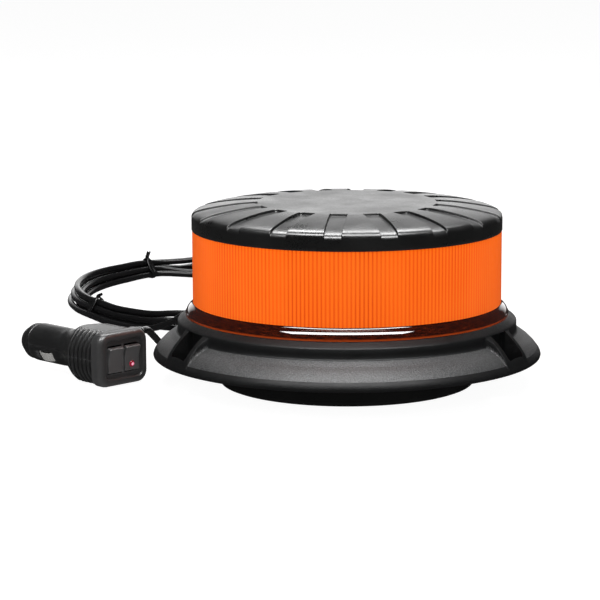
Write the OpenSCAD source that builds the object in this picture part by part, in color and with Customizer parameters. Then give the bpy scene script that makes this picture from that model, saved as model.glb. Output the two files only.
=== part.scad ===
// Low-profile amber LED warning beacon on a magnetic foot, with its lead and a switched 12 V plug.
// Millimetres, +Z up, origin at the centre of the magnet foot's underside, front towards -Y.

/* [Base] */
// overall diameter of the mounting flange
flange_d = 200; // [199:0.5:202]
// height of the flange underside above the surface the foot stands on
flange_z = 14.5; // [13.5:0.5:14.5]
// thickness of the base floor
floor_t = 3; // [2.5:0.25:3.5]
// pitch circle of the three mounting bolts
bolt_pcd = 183; // [182.5:0.25:183.5]
// clearance hole for each mounting bolt
bolt_hole_d = 6.6; // [5.5:0.1:7]
// width of each bolt pocket
pocket_w = 15.4; // [14:0.2:16.5]
// thickness of the walls beside a bolt pocket
pocket_wall = 3.3; // [2.5:0.1:3.5]

/* [Magnet foot] */
// outer radius of the rubber boot
boot_r = 66; // [64:0.5:67]
// number of magnets under the steel plate
magnet_count = 6; // [4:1:8]
// radius of each magnet
magnet_r = 11; // [8:0.5:11.5]

/* [Lens] */
// outer radius of the ribbed band
lens_r = 79.4; // [79.2:0.1:79.6]
// wall thickness of the band
lens_wall = 2.4; // [2:0.1:2.8]

/* [Cap] */
// number of recessed channels round the cap
channel_count = 18; // [12:1:20]
// width of one channel
channel_w = 8.6; // [6:0.2:10]
// depth of a channel on the crown
channel_depth = 1.2; // [0.8:0.1:1.6]
// where the channels begin, measured from the centre
channel_start_r = 46; // [44:0.5:50]

/* [Light engine] */
// outside corner radius of the eight-sided heat spreader
drum_r = 56; // [54:0.5:58]
// LEDs along each board
leds_per_board = 3; // [2:1:3]

/* [Plug] */
// diameter of the barrel that enters the socket
barrel_d = 20; // [19.6:0.1:20.4]
// height of the head
head_h = 28; // [27.5:0.5:29]
// width of the head
head_w = 33; // [32.5:0.5:34]
// swing of each rocker from off to on, degrees
rocker_swing = 14; // [8:1:14]

/* [Lead] */
// diameter of the two-core lead
cord_d = 3.8; // [3.4:0.1:4]

/* [Hidden] */
$fn = 96;
eps = 0.01;
bolt_hole_r = bolt_hole_d / 2;
bolt_az = [-150, -30, 90];                 // the three pockets: two at the front, one at the back
floor_top = flange_z + floor_t;
cavity_r = 78;
collar_r = 87.3;
collar_top = 36.2;
pocket_in_r = 84.5;
pocket_out_r = 97.6;
pocket_top = 33;
boot_wall = 2;
boot_floor = 1.5;
tie_r = 40;                                // circle of the four long housing screws
tie_az = [45, 135, 225, 315];
lens_foot_r = 83.2;
lens_skirt_top = 42.2;
cap_z = 79.7;                              // underside of the cap's skirt
cap_r = 79.7;
crown = [[48, 93.6], [56, 93.0], [64, 92.0], [72, 90.6], [76.4, 89.5], [78.6, 88.3], [79.7, 86.6]];
crown_in = [[0, 90.8], [50, 90.8], [64, 89.2], [72, 87.8], [73, 85.2]];
rim_z = 84;                                // top of the lens rim inside the cap
drum_z0 = 42;
drum_z1 = 78;
drum_wall = 3;
drum_flat = drum_r * cos(22.5);
board_z = 26;
board_t = 1.6;
gland_az = 120;                            // the lead leaves at the back, to the left
gland_z = 23.5;
cord_r = cord_d / 2;
plug_at = [-114, -14.3, 14.5];             // centre of the plug's switch face
plug_az = -44;
hinge_x = -3;                              // rocker axis behind the switch face
rocker_y = 5.5;                            // centre of each rocker beside the plug axis
rocker_arc = 7.2;
contact_roll = 30;
coil_c = [-45, 243.5];
coil_in = 111.8;
coil_out = 127;
coil_z0 = 1.2;
coil_z1 = 12.4;
lead_pts = [
  [-35, 60.6, 23.5], [-50, 86.6, 23.5], [-64, 110.9, 23.5], [-70, 118, 22.6], [-78, 122, 19.8], [-88, 123.5, 14.6],
  [-98, 124.6, 8.8], [-107.5, 128, 4.4], [-116.5, 133.8, 2.4], [-124.8, 141.2, 1.9], [-132, 150, 1.9],
  [-137, 157.4, 1.9]];
tail_pts = [
  [-6.4, 124.6, 1.9], [-20.7, 120, 1.9], [-35, 115.8, 1.9], [-50, 112.6, 1.9], [-64, 110.4, 1.9], [-77, 108, 1.9],
  [-88, 103, 2], [-96, 95, 2.4], [-100.5, 84, 3.8], [-102.5, 71, 6.8], [-103.5, 58, 11.4], [-104.8, 45, 16.4],
  [-106, 35.5, 20], [-107.27, 28.5, 21.3], [-108.92, 21.9, 21.5], [-113.49, 3.58, 21.5]];

// ---------- helpers ----------
module at_plug() translate(plug_at) rotate([0, 0, plug_az]) children();
module along_x(x0, x1, r0, r1) translate([x0, 0, 0]) rotate([0, 90, 0]) cylinder(h = x1 - x0, r1 = r0, r2 = r1);
module turned_x(profile) rotate([0, 90, 0]) rotate_extrude() polygon([for (p = profile) [p[1], p[0]]]);
module ring_of(azimuths, r) for (a = azimuths) rotate([0, 0, a]) translate([r, 0, 0]) children();
module box(x0, x1, y0, y1, z0, z1) translate([x0, y0, z0]) cube([x1 - x0, y1 - y0, z1 - z0]);
module round_rect(w, h, r) union() {
  square([w - 2 * r, h], center = true);
  square([w, h - 2 * r], center = true);
  for (sx = [-1, 1], sy = [-1, 1]) translate([sx * (w / 2 - r), sy * (h / 2 - r)]) circle(r);
}
module prism_x(x0, x1, w, h, r) translate([x0, 0, 0]) rotate([90, 0, 90]) linear_extrude(x1 - x0) round_rect(w, h, r);
function spread(n, first = 0) = [for (i = [0:n - 1]) first + i * 360 / n];

// a smooth path through hand-placed points, and the tube that follows it
function blend3(a, b, c, d, t) = 0.5 * (2 * b + (c - a) * t + (2 * a - 5 * b + 4 * c - d) * t * t
  + (3 * b - a - 3 * c + d) * t * t * t);
function smooth(p, k) = [for (i = [0:len(p) - 2], j = [0:k - 1])
  blend3(p[max(i - 1, 0)], p[i], p[i + 1], p[min(i + 2, len(p) - 1)], j / k), p[len(p) - 1]];
function unit(v) = v / norm(v);
function heading(p, i) = unit(p[min(i + 1, len(p) - 1)] - p[max(i - 1, 0)]);
function ring_pts(p, i, r, n) = let (t = heading(p, i), s = unit(cross(t, [0, 0, 1])), u = cross(s, t))
  [for (k = [0:n - 1]) p[i] + r * (cos(k * 360 / n) * s + sin(k * 360 / n) * u)];
module tube(pts, r, n = 10) {
  m = len(pts);
  verts = [for (i = [0:m - 1]) each ring_pts(pts, i, r, n)];
  sides = [for (i = [0:m - 2], k = [0:n - 1])
    [i * n + k, i * n + (k + 1) % n, (i + 1) * n + (k + 1) % n, (i + 1) * n + k]];
  polyhedron(points = verts, faces = concat([[for (k = [n - 1:-1:0]) k]], sides,
    [[for (k = [0:n - 1]) (m - 1) * n + k]]), convexity = 6);
}

// ---------- base ----------
rim = flange_d / 2;
panel_profile = [[collar_r + 0.2, 28], [91, 25.4], [94.6, 22.8], [97.3, 20.2], [rim - 1.3, 18.4],
  [rim - 0.4, 16.8], [rim, 15.6], [rim - 0.8, flange_z]];
rib_profile = [[collar_r, 32.8], [92, 28.6], [95.6, 24.4], [98, 20.8], [rim - 1.1, 18.6],
  [rim - 0.4, 16.8], [rim, 15.6], [rim - 0.8, flange_z]];
module collar_solid(profile) rotate_extrude() polygon(concat([[0, flange_z], [0, collar_top],
  [lens_foot_r + 0.6, collar_top], [collar_r - 0.9, 33.9], [collar_r, 33.2]], profile));
module under_channel() rotate_extrude() polygon([[81, flange_z - 1], [81, 24], [86, 24], [95.2, 17.6],
  [95.2, flange_z - 1]]);

module base_housing() color("#1b1c1e") difference() {
  union() {
    difference() {
      union() {
        collar_solid(panel_profile);
        intersection() {
          collar_solid(rib_profile);
          ring_of(bolt_az, 0)
            box(80, rim, -pocket_w / 2 - pocket_wall, pocket_w / 2 + pocket_wall, flange_z, collar_top);
        }
      }
      translate([0, 0, floor_top]) cylinder(h = 30, r = cavity_r);
      difference() {
        under_channel();
        ring_of(bolt_az, 0) box(70, rim, -pocket_w / 2 - 3, pocket_w / 2 + 3, 10, 40);
        rotate([0, 0, gland_az]) box(70, rim, -9, 9, 10, 40);
      }
    }
    for (a = tie_az) rotate([0, 0, a]) translate([tie_r, 0, floor_top - eps])
      cylinder(h = drum_z0 - floor_top, r = 5.5);
    rotate([0, 0, gland_az]) translate([0, 0, gland_z]) intersection() {
      along_x(cavity_r + 1, 101, 8.5, 8.5);
      box(60, 110, -12, 12, -gland_z + flange_z, 20);
    }
  }
  for (a = bolt_az) rotate([0, 0, a]) {
    box(pocket_in_r, pocket_out_r, -pocket_w / 2, pocket_w / 2, floor_top, pocket_top);
    translate([bolt_pcd / 2, 0, 0]) cylinder(h = 30, r = bolt_hole_r);
    box(collar_r, pocket_out_r, -pocket_w / 2, pocket_w / 2, floor_top, 50);
  }
  translate([0, 0, 34.6]) difference() {
    cylinder(h = 3, r = 81.8);
    translate([0, 0, -1]) cylinder(h = 5, r = 79.8);
  }
  ring_of(tie_az, tie_r) {
    cylinder(h = 60, r = 2.1);
    cylinder(h = floor_top - 0.5, r = 4.2);
  }
  ring_of(spread(4), 24) cylinder(h = 16.6, r = 1.95);
  rotate([0, 0, gland_az]) translate([0, 0, gland_z]) along_x(cavity_r - 3, 102, 5.05, 5.05);
}

// ---------- magnet foot ----------
module magnet_boot() color("#151515") difference() {
  rotate_extrude() polygon([[0, 0], [boot_r - 2, 0], [boot_r - 0.6, 0.6], [boot_r, 2], [boot_r, flange_z - 1.2],
    [boot_r - 0.8, flange_z], [0, flange_z]]);
  translate([0, 0, boot_floor]) cylinder(h = 20, r = boot_r - boot_wall);
  for (r = [52, 58]) translate([0, 0, -1]) difference() {
    cylinder(h = 1.5, r = r + 0.8);
    translate([0, 0, -1]) cylinder(h = 4, r = r - 0.8);
  }
}
module magnet_carrier() color("#3a3d40") difference() {
  translate([0, 0, boot_floor]) cylinder(h = 9, r = boot_r - boot_wall - 0.2);
  ring_of(spread(magnet_count, 30), 44) translate([0, 0, boot_floor - 1]) cylinder(h = 12, r = magnet_r + 0.15);
  ring_of(spread(4), 24) translate([0, 0, boot_floor - 1]) cylinder(h = 12, r = 4.2);
  translate([0, 0, boot_floor - 1]) cylinder(h = 12, r = 12);
}
module magnets() color("#9a9da1") ring_of(spread(magnet_count, 30), 44)
  translate([0, 0, boot_floor]) cylinder(h = 9, r = magnet_r);
module magnet_plate() color("#8d9196") difference() {
  translate([0, 0, boot_floor + 9]) cylinder(h = flange_z - boot_floor - 9, r = boot_r - boot_wall - 0.2);
  ring_of(spread(4), 24) cylinder(h = 20, r = 2.1);
  ring_of(tie_az, tie_r) cylinder(h = 20, r = 5);
}
module magnet_screws() color("#b5b8bc") ring_of(spread(4), 24) difference() {
  union() {
    translate([0, 0, boot_floor + 6.6]) cylinder(h = 2.4, r = 3.6);
    translate([0, 0, boot_floor + 6.6]) cylinder(h = 16.5 - boot_floor - 6.6, r = 1.95);
  }
  translate([0, 0, boot_floor + 6]) cylinder(h = 2, r = 1.5, $fn = 6);
}

// ---------- lens and cap ----------
module base_gasket() color("#2a2a2a") translate([0, 0, 34.6]) difference() {
  cylinder(h = collar_top - 34.6, r = 81.8);
  translate([0, 0, -1]) cylinder(h = 5, r = 79.8);
}
module lens() color("#ff7a1a") {
  inner = lens_r - lens_wall;
  rotate_extrude() polygon([[79, collar_top], [lens_foot_r, collar_top], [lens_foot_r, 37.8], [82.4, 39.4],
    [80.9, 41], [lens_r, lens_skirt_top], [lens_r, cap_z], [77.4, cap_z], [77.4, rim_z], [75, rim_z],
    [75, 78], [inner, 76], [inner, 44], [79, 40.5]]);
}
module cap_gasket() color("#2a2a2a") translate([0, 0, rim_z]) difference() {
  cylinder(h = 1.2, r = 77.4);
  translate([0, 0, -1]) cylinder(h = 4, r = 75);
}
module channel_cut() intersection() {
  rotate([0, 0, -12]) rotate_extrude(angle = 24) polygon(concat(
    [[40, 97], [40, 93.6 - channel_depth]], [for (p = crown) p - [0, channel_depth]],
    [[83, 86.6 - channel_depth], [83, 97]]));
  box(channel_start_r, 90, -channel_w / 2, channel_w / 2, 80, 100);
}
module cap() color("#5d6063") difference() {
  union() {
    rotate([0, 0, -95 + 180 / channel_count]) difference() {
      rotate_extrude() polygon(concat([[0, cap_z], [0, 93.6]], crown, [[cap_r, cap_z]]));
      rotate_extrude() polygon(concat([[0, 0]], [for (p = crown_in) p],
        [[77.6, 85.2], [77.6, 0]]));
    }
    ring_of(tie_az, tie_r) translate([0, 0, drum_z1]) cylinder(h = 91 - drum_z1, r = 5.5);
  }
  ring_of(tie_az, tie_r) translate([0, 0, drum_z1 - 1]) cylinder(h = 12, r = 1.95);
  for (a = spread(channel_count, -95)) rotate([0, 0, a]) channel_cut();
}
module housing_screws() color("#b5b8bc") ring_of(tie_az, tie_r) difference() {
  union() {
    translate([0, 0, flange_z + 0.2]) cylinder(h = floor_t - 0.7, r = 3.7);
    translate([0, 0, flange_z + 0.2]) cylinder(h = 88 - flange_z - 0.2, r = 1.95);
  }
  translate([0, 0, flange_z - 1]) cylinder(h = 2.6, r = 1.5, $fn = 6);
}

// ---------- light engine ----------
module heat_spreader() color("#c9ccd0") rotate([0, 0, 22.5]) difference() {
  translate([0, 0, drum_z0]) cylinder(h = drum_z1 - drum_z0, r = drum_r, $fn = 8);
  translate([0, 0, drum_z0 + 4]) difference() {
    cylinder(h = drum_z1 - drum_z0 - 8, r = drum_r - drum_wall, $fn = 8);
    rotate([0, 0, -22.5]) ring_of(tie_az, tie_r) cylinder(h = 60, r = 5);
  }
  translate([0, 0, drum_z0 - 1]) cylinder(h = 6, r = 30);
  rotate([0, 0, -22.5]) ring_of(tie_az, tie_r) cylinder(h = 100, r = 2.1);
}
module led_boards() color("#e8e8e4") ring_of(spread(8), drum_flat)
  box(0, board_t, -19, 19, drum_z0 + 3, drum_z1 - 3);
module leds() color("#ffd66b") for (a = spread(8), i = [0:leds_per_board - 1]) rotate([0, 0, a])
  translate([drum_flat + board_t, (i - (leds_per_board - 1) / 2) * 12, 60]) {
    along_x(0, 1.6, 3.6, 3.6);
    translate([1.2, 0, 0]) intersection() {
      sphere(2.8);
      box(0, 4, -4, 4, -4, 4);
    }
  }

// ---------- driver ----------
post_az = spread(4, 0);
module standoffs() color("#d5b45a") ring_of(post_az, 52) difference() {
  translate([0, 0, floor_top]) cylinder(h = board_z - floor_top, r = 3, $fn = 6);
  translate([0, 0, floor_top - 1]) cylinder(h = 30, r = 1.25);
}
module driver_board() color("#1f5c3a") difference() {
  translate([0, 0, board_z]) cylinder(h = board_t, r = 60);
  ring_of(tie_az, tie_r) translate([0, 0, board_z - 1]) cylinder(h = 4, r = 6);
  ring_of(post_az, 52) translate([0, 0, board_z - 1]) cylinder(h = 4, r = 1.5);
}
module board_screws() color("#b5b8bc") ring_of(post_az, 52) union() {
  translate([0, 0, board_z + board_t]) cylinder(h = 1.6, r = 2.4);
  translate([0, 0, floor_top + 1.5]) cylinder(h = board_z + board_t - floor_top - 1, r = 1.25);
}
board_top = board_z + board_t;
module capacitors() color("#23262c") for (p = [[-6, 18], [8, 18], [1, 31]])
  translate([p[0], p[1], board_top]) cylinder(h = 10.5, r = 5);
module inductors() color("#4a4e55") for (x = [-12, 12]) translate([x, -14, board_top]) difference() {
  translate([0, 0, 3.5]) cube([14, 14, 7], center = true);
  translate([0, 0, 6]) cylinder(h = 3, r = 4);
}
module driver_chips() color("#111214") for (p = [[-16, 2], [0, 0], [16, 2]])
  translate([p[0], p[1], board_top + 0.9]) cube([7, 6, 1.8], center = true);
module terminal_block() color("#2d7a48") rotate([0, 0, gland_az]) difference() {
  box(46, 57, -8, 8, board_top, board_top + 10);
  for (y = [-4, 4]) translate([0, y, board_top + 3.5]) along_x(52, 58, 1.6, 1.6);
  for (y = [-4, 4]) translate([51, y, board_top + 7]) cylinder(h = 5, r = 1.8);
}
module supply_wires() color("#8a1f1f") rotate([0, 0, gland_az]) for (s = [-1, 1]) union() {
  translate([0, s * 4, board_top + 3.5]) along_x(53, 63, 1, 1);
  translate([63, s * 4, board_top + 3.5]) sphere(1);
  translate([63, s * 4, board_top + 3.5]) rotate([90 * s, 0, 0]) cylinder(h = 2.9, r = 1);
  translate([63, s * 1.1, board_top + 3.5]) sphere(1);
  translate([63, s * 1.1, gland_z]) cylinder(h = board_top + 3.5 - gland_z, r = 1);
  translate([63, s * 1.1, gland_z]) sphere(1);
  translate([0, s * 1.1, gland_z]) along_x(63, 69.6, 1, 1);
}
module led_ribbon() color("#c7c2b4") box(24, 26, -6, 6, board_top, drum_z0 + 12);

// ---------- lead outlet ----------
module cord_gland() color("#17181a") rotate([0, 0, gland_az]) translate([0, 0, gland_z]) difference() {
  turned_x([[76, 0], [76, 5], [101, 5], [101, 8], [103.4, 8], [104.2, 7.2], [104.2, 6.4], [110, 5.6], [110, 4.6],
    [111.4, 4.6], [111.4, 5.3], [115, 4.8], [115, 4], [116.4, 4], [116.4, 4.5], [120, 4.1], [120, 3.5],
    [121.4, 3.5], [121.4, 3.9], [127, 3.1], [127, 0]]);
  along_x(60, 130, cord_r, cord_r);
}
module gland_nut() color("#17181a") rotate([0, 0, gland_az]) translate([0, 0, gland_z]) difference() {
  translate([73.2, 0, 0]) rotate([0, 90, 0]) rotate([0, 0, 30]) cylinder(h = 4, r = 6.9, $fn = 6);
  along_x(70, 80, 5.05, 5.05);
}

// ---------- plug ----------
barrel_r = barrel_d / 2;
grip = concat([[-66, 0], [-66, barrel_r], [-44, barrel_r], [-42, barrel_r - 0.3], [-38, barrel_r + 0.4],
  [-34, barrel_r + 2], [-30, barrel_r + 4.2], [-27, barrel_r + 5.9], [-25, barrel_r + 6.6]],
  [for (k = [0:4], p = [[0, 5.5], [0.8, 5.5], [1.1, 6.9], [2.9, 6.9]]) [-24.6 + 3.2 * k + p[0], barrel_r + p[1]]],
  [[-8.4, barrel_r + 5.5], [-7.6, barrel_r + 5.5], [-7.4, barrel_r + 6.6], [-7, barrel_r + 6.6], [-7, 0]]);
module plug_body() difference() {
  intersection() {
    turned_x(grip);
    prism_x(-70, -7, head_w, head_h, 6);
  }
  along_x(-67, -28, 7.2, 7.2);
  prism_x(-28.5, -6, 18, 14, 3);
  prism_x(-19, -6, 24, 20, 5);
  for (k = [0, 180]) rotate([contact_roll + k, 0, 0]) box(-58, -46, -12, -6, -3, 3);
  exit_frame() along_x(-4, 10, 4.4, 4.4);
  for (s = [-1, 1]) translate([-24, s * 11.5, 0]) {
    translate([0, 0, -20]) cylinder(h = 29, r = 1.25);
    translate([0, 0, -20]) cylinder(h = 12, r = 2.5);
  }
}
module exit_frame() translate([-12.5, 14, 7]) rotate([0, 0, 120]) children();
module plug_shell_upper() color("#1c1d1f") at_plug() intersection() {
  plug_body();
  box(-80, 0, -30, 30, 0, 30);
}
module plug_shell_lower() color("#1c1d1f") at_plug() intersection() {
  plug_body();
  box(-80, 0, -30, 30, -30, 0);
}
module shell_screws() color("#b5b8bc") at_plug() for (s = [-1, 1]) translate([-24, s * 11.5, 0]) difference() {
  union() {
    translate([0, 0, -10]) cylinder(h = 2, r = 2.4);
    translate([0, 0, -10]) cylinder(h = 18, r = 1.25);
  }
  translate([0, 0, -10.5]) cylinder(h = 1.5, r = 1.1, $fn = 6);
}
module plug_nose() color("#1c1d1f") at_plug() difference() {
  turned_x([[-76, 0], [-76, 6.2], [-75, 7], [-71, 8.8], [-70, 9.4], [-66, 9.7], [-66, 0]]);
  along_x(-80, -60, 3.4, 3.4);
  along_x(-72, -60, 5.3, 5.3);
}
module tip_contact() color("#d9dadc") at_plug() turned_x([[-80, 0], [-80, 1.5], [-79.6, 2.5], [-78.6, 3.1],
  [-77.4, 3.3], [-71.9, 3.3], [-71.9, 5], [-69.9, 5], [-69.9, 0]]);
module tip_spring() color("#a9adb2") at_plug() difference() {
  along_x(-67.2, -62.5, 3.1, 3.1);
  along_x(-70, -60, 2.1, 2.1);
}
module fuse() color("#dfe8ea") at_plug() along_x(-57.5, -37.5, 2.9, 2.9);
module fuse_caps() color("#c8cacd") at_plug() for (x = [-62.5, -37.5]) along_x(x, x + 5, 3.15, 3.15);
module side_contact() intersection() {
  box(-57.8, -46.2, -11, -8.2, -2.75, 2.75);
  translate([-52, 10.3 - 1.2, 0]) cylinder(h = 20, r = 20, center = true);
}
module side_contact_front() color("#d2d4d7") at_plug() rotate([contact_roll, 0, 0]) side_contact();
module side_contact_back() color("#d2d4d7") at_plug() rotate([contact_roll + 180, 0, 0]) side_contact();

module switch_bezel() color("#232427") at_plug() difference() {
  prism_x(-7, 0, head_w, head_h, 6);
  prism_x(-1.2, 1, 24.4, 19.4, 3);
  for (s = [-1, 1]) box(-8, 2, s * rocker_y - 4.9, s * rocker_y + 4.9, -7.4, 7.4);
  translate([hinge_x, 0, 0]) rotate([90, 0, 0]) cylinder(h = 26, r = 1, center = true);
}
// the rocker drawn in its off position: tilted back by half its swing about the axle
module rocker(side) translate([hinge_x, side * rocker_y, 0]) rotate([0, rocker_swing / 2, 0]) children();
module rocker_solid(side) rocker(side) difference() {
  intersection() {
    union() {
      rotate([90, 0, 0]) translate([0, 0, -4.7]) linear_extrude(9.4)
        polygon([[1, -6.9], [3.6, -6.2], [3, -3.4], [2.7, 0], [3, 3.4], [3.6, 6.2], [1, 6.9], [-0.6, 4.4], [-0.6, -4.4]]);
      rotate([90, 0, 0]) cylinder(h = 9.4, r = 2.4, center = true);
      box(-4.2, 0, -1.5, 1.5, -1.2, 1.2);
    }
    rotate([90, 0, 0]) cylinder(h = 20, r = rocker_arc, center = true);
  }
  rotate([90, 0, 0]) cylinder(h = 20, r = 1.05, center = true);
  if (side > 0) indicator_body();
}
module indicator_body() translate([1.3, 0, -3.2]) rotate([0, 90, 0]) cylinder(h = 2.3, r = 1.7);
module rocker_left() color("#101113") at_plug() rocker_solid(-1);
module rocker_right() color("#101113") at_plug() rocker_solid(1);
module indicator_lens() color("#d3201f") at_plug() rocker(1) indicator_body();
module rocker_axle() color("#a9adb2") at_plug() translate([hinge_x, 0, 0]) rotate([90, 0, 0])
  cylinder(h = 26, r = 1, center = true);
module switch_bodies() color("#2b2d31") at_plug() for (s = [-1, 1])
  box(-15.5, -8.4, s * rocker_y - 4.5, s * rocker_y + 4.5, -6.5, 6.5);
module plug_board() color("#1f5c3a") at_plug() box(-17.1, -15.5, -10, 10, -8, 8);
module plug_wires() color("#8a1f1f") at_plug() for (s = [-1, 1]) union() {
  translate([0, s * 2, 0]) along_x(-24, -17.1, 0.9, 0.9);
  translate([-24, s * 2, 0]) sphere(0.9);
  translate([0, s * 2, 0]) along_x(-32.4, -24, 0.9, 0.9);
}
module cord_boot() color("#17181a") at_plug() exit_frame() difference() {
  turned_x([[-1.8, 0], [-1.8, 4.4], [5.2, 4.4], [5.2, 5], [6.8, 5], [6.8, 4.2], [9.2, 4], [9.2, 3.4],
    [10.2, 3.4], [10.2, 3.9], [13, 3.6], [13, 3.1], [14, 3.1], [14, 3.4], [18, 2.9], [18, 0]]);
  along_x(-6, 20, cord_r, cord_r);
}

// ---------- lead ----------
module cord_lead() color("#121315") tube(smooth(lead_pts, 2), cord_r);
module cord_tail() color("#121315") tube(smooth(tail_pts, 2), cord_r);
module cord_coil() color("#121315") translate([coil_c[0], coil_c[1], 0]) rotate_extrude() polygon([
  [coil_in, coil_z0 + 2], [coil_in + 2, coil_z0], [coil_out - 2, coil_z0], [coil_out, coil_z0 + 2],
  [coil_out, 5], [coil_out - 3, coil_z1], [coil_in + 3, coil_z1], [coil_in, 5]]);
module twist_tie(az, lean) color("#0d0d0e") translate([coil_c[0], coil_c[1], 0]) rotate([0, 0, az])
  translate([(coil_in + coil_out) / 2, 0, (coil_z0 + coil_z1) / 2]) {
    rotate([90, 0, 0]) translate([0, 0, -1.4]) linear_extrude(2.8) difference() {
      round_rect(coil_out - coil_in + 2.2, coil_z1 - coil_z0 + 2.2, 2.4);
      round_rect(coil_out - coil_in + 0.3, coil_z1 - coil_z0 + 0.3, 1.6);
    }
    translate([0, 0, (coil_z1 - coil_z0) / 2 + 0.8]) rotate([lean, 0, 0]) cylinder(h = 7, r = 1.1);
  }
module tie_front() twist_tie(-148, 50);
module tie_back() twist_tie(135, -35);

base_housing();
magnet_boot();
magnet_carrier();
magnets();
magnet_plate();
magnet_screws();
base_gasket();
lens();
cap_gasket();
cap();
housing_screws();
heat_spreader();
led_boards();
leds();
standoffs();
driver_board();
board_screws();
capacitors();
inductors();
driver_chips();
terminal_block();
supply_wires();
led_ribbon();
cord_gland();
gland_nut();
plug_shell_upper();
plug_shell_lower();
shell_screws();
plug_nose();
tip_contact();
tip_spring();
fuse();
fuse_caps();
side_contact_front();
side_contact_back();
switch_bezel();
rocker_left();
rocker_right();
indicator_lens();
rocker_axle();
switch_bodies();
plug_board();
plug_wires();
cord_boot();
cord_lead();
cord_coil();
cord_tail();
tie_front();
tie_back();
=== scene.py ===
"""Amber LED warning beacon: the visual model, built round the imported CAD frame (metres, +Z up)."""

import math

import bmesh
import bpy
from mathutils import Matrix, Vector


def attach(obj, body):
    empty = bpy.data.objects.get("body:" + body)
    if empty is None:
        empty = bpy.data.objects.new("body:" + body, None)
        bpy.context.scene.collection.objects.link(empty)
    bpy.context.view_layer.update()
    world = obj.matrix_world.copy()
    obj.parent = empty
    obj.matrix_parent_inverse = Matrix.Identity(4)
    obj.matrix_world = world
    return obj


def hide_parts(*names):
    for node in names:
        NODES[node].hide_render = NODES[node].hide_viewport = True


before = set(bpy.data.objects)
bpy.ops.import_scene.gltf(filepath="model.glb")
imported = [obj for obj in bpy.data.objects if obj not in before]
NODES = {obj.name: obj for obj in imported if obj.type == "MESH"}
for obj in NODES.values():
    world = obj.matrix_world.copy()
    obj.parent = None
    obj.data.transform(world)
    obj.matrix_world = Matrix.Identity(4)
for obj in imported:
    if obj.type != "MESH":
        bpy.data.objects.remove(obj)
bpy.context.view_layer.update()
MM = 0.001
TAU = 2 * math.pi
RIBS = 240  # prisms round the lens


# -------- small maths
def lerp(a, b, t):
    return a + (b - a) * t


def smooth(a, b, x):
    t = min(1.0, max(0.0, (x - a) / (b - a)))
    return t * t * (3 - 2 * t)


def polar(r, degrees):
    a = math.radians(degrees)
    return r * math.cos(a), r * math.sin(a)


def fillet(points, radius, steps=4):
    """The open 2D line with each inner corner rounded, as far as its neighbours leave room."""
    out = [points[0]]
    for p, q, n in zip(map(Vector, points), map(Vector, points[1:]), map(Vector, points[2:])):
        d = min(radius, 0.45 * (p - q).length, 0.45 * (n - q).length)
        a, b = q + (p - q).normalized() * d, q + (n - q).normalized() * d
        for k in range(steps + 1):
            t = k / steps
            out.append(tuple(a * (1 - t) ** 2 + q * 2 * t * (1 - t) + b * t * t))
    out.append(points[-1])
    return out


def refine(points, longest):
    """The line with long stretches cut into pieces no longer than the given length."""
    out = [points[0]]
    for a, b in zip(points, points[1:]):
        n = max(1, math.ceil(math.dist(a, b) / longest))
        out += [tuple(lerp(a[c], b[c], k / n) for c in range(len(a))) for k in range(1, n + 1)]
    return out


# -------- mesh helpers
def new_object(name, data):
    obj = bpy.data.objects.new(name, data)
    bpy.context.scene.collection.objects.link(obj)
    return obj


def moved(frame_matrix, points):
    return [tuple(frame_matrix @ Vector(p)) for p in points]


def add_object(name, verts, faces, materials, face_material=None, sharp=32):
    """An object from points in mm; face_material picks a slot from a face's centre, also in mm."""
    mesh = bpy.data.meshes.new(name)
    mesh.from_pydata([tuple(c * MM for c in v) for v in verts], [], faces)
    bm = bmesh.new()
    bm.from_mesh(mesh)
    bmesh.ops.remove_doubles(bm, verts=bm.verts, dist=2e-6)
    bmesh.ops.dissolve_degenerate(bm, edges=bm.edges, dist=1e-6)
    bmesh.ops.recalc_face_normals(bm, faces=bm.faces)
    bm.to_mesh(mesh)
    bm.free()
    obj = new_object(name, mesh)
    for m in materials:
        mesh.materials.append(m)
    if face_material:
        for p in mesh.polygons:
            p.material_index = face_material(p.center / MM)
    finish_shading(obj, sharp)
    return obj


def finish_shading(obj, sharp=32):
    mesh = obj.data
    mesh.polygons.foreach_set("use_smooth", [True] * len(mesh.polygons))
    mesh.set_sharp_from_angle(angle=math.radians(sharp))
    mesh.update()


def grid_faces(rows, cols):
    """Faces between rows of points, each row closed into a ring."""
    faces = []
    for i in range(rows - 1):
        for j in range(cols):
            k = (j + 1) % cols
            faces.append((i * cols + j, i * cols + k, (i + 1) * cols + k, (i + 1) * cols + j))
    return faces


class Builder:
    """Collects vertices and faces of several closed shells into one object."""

    def __init__(self):
        self.verts, self.faces = [], []

    def add(self, verts, faces):
        n = len(self.verts)
        self.verts += verts
        self.faces += [tuple(n + i for i in f) for f in faces]

    def lathe(self, profile, segments, place):
        """A closed or axis-to-axis profile of (radius, height) turned about Z, then placed."""
        rows, verts = len(profile), []
        for r, z in profile:
            for j in range(segments):
                a = TAU * j / segments
                verts.append((r * math.cos(a), r * math.sin(a), z))
        self.add(moved(place, verts), grid_faces(rows, segments))

    def loft(self, rings, caps=True):
        cols = len(rings[0])
        self.add([p for ring in rings for p in ring], grid_faces(len(rings), cols))
        if caps:
            n = len(self.verts) - len(rings) * cols
            self.faces.append(tuple(n + j for j in range(cols)))
            last = n + (len(rings) - 1) * cols
            self.faces.append(tuple(last + cols - 1 - j for j in range(cols)))

    def object(self, name, materials, face_material=None, sharp=32):
        return add_object(name, self.verts, self.faces, materials, face_material, sharp)


def closed(profile):
    return profile + [profile[0]]


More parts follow.
